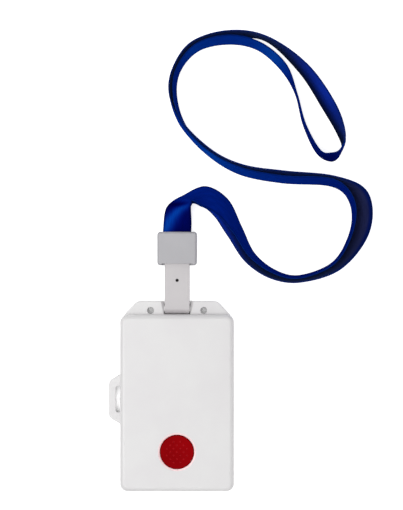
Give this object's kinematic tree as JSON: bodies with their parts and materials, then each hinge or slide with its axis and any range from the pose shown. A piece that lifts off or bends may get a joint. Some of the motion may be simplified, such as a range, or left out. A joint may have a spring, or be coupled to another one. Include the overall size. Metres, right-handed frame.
{
  "type": "wearable panic button",
  "caption": "Badge-shaped wearable panic button with a round push button, a flange with a turning hook, a pull-apart sleeve and a flat neck ribbon that lies in loose curves.",
  "frame": {"origin": "centre of the case's flat back face, on the surface that the object lies on", "axes": "+X to the right of the front face, +Y along the case towards the neck ribbon, +Z out of the front face"},
  "size_m": [0.1391, 0.2422, 0.0167],
  "materials": {
    "case_plastic": "moulded, fine satin texture",
    "hook_plastic": "moulded, satin",
    "sleeve_plastic": "moulded, satin",
    "button_plastic": "moulded, with raised grip dots",
    "ribbon_satin": "woven satin",
    "soft_silicone": "moulded",
    "steel": "plated",
    "brass": "turned",
    "board_laminate": "solder mask",
    "black_plastic": "moulded",
    "ceramic": "fired"
  },
  "bodies": {
    "lanyard": {"lanyard_ribbon": "ribbon_satin", "sleeve_front": "sleeve_plastic", "sleeve_back": "sleeve_plastic", "ribbon_clamp": "steel"},
    "clip": {"hook": "hook_plastic"},
    "device": {"front_shell": "case_plastic", "rear_shell": "case_plastic", "case_seal": "soft_silicone", "case_screws": "steel", "screw_inserts": "brass", "button_boot": "soft_silicone", "boot_carrier": "case_plastic", "switch_body": "black_plastic", "circuit_board": "board_laminate", "radio_module": "board_laminate", "shield_can": "steel", "chip_antenna": "ceramic", "board_chips": "black_plastic", "cell_holder": "black_plastic", "coin_cell": "steel", "cell_strap": "steel", "cell_pad": "brass"},
    "button": {"button_cap": "button_plastic", "switch_plunger": "black_plastic"}
  },
  "joints": [
    {"name": "clip_release", "type": "slide", "parent": "lanyard", "child": "clip", "axis": [0, -1, 0], "range_m": [0, 0.012]},
    {"name": "device_swing", "type": "hinge", "parent": "clip", "child": "device", "pos_m": [0, 0.0497, 0.0033], "axis": [-1, 0, 0], "range_deg": [0, 90]},
    {"name": "button_press", "type": "slide", "parent": "device", "child": "button", "axis": [0, 0, -1], "range_m": [0, 0.0006], "stiffness_N_per_m": 2500, "springref_m": -0.0004, "deforming": ["button_boot"]}
  ]
}
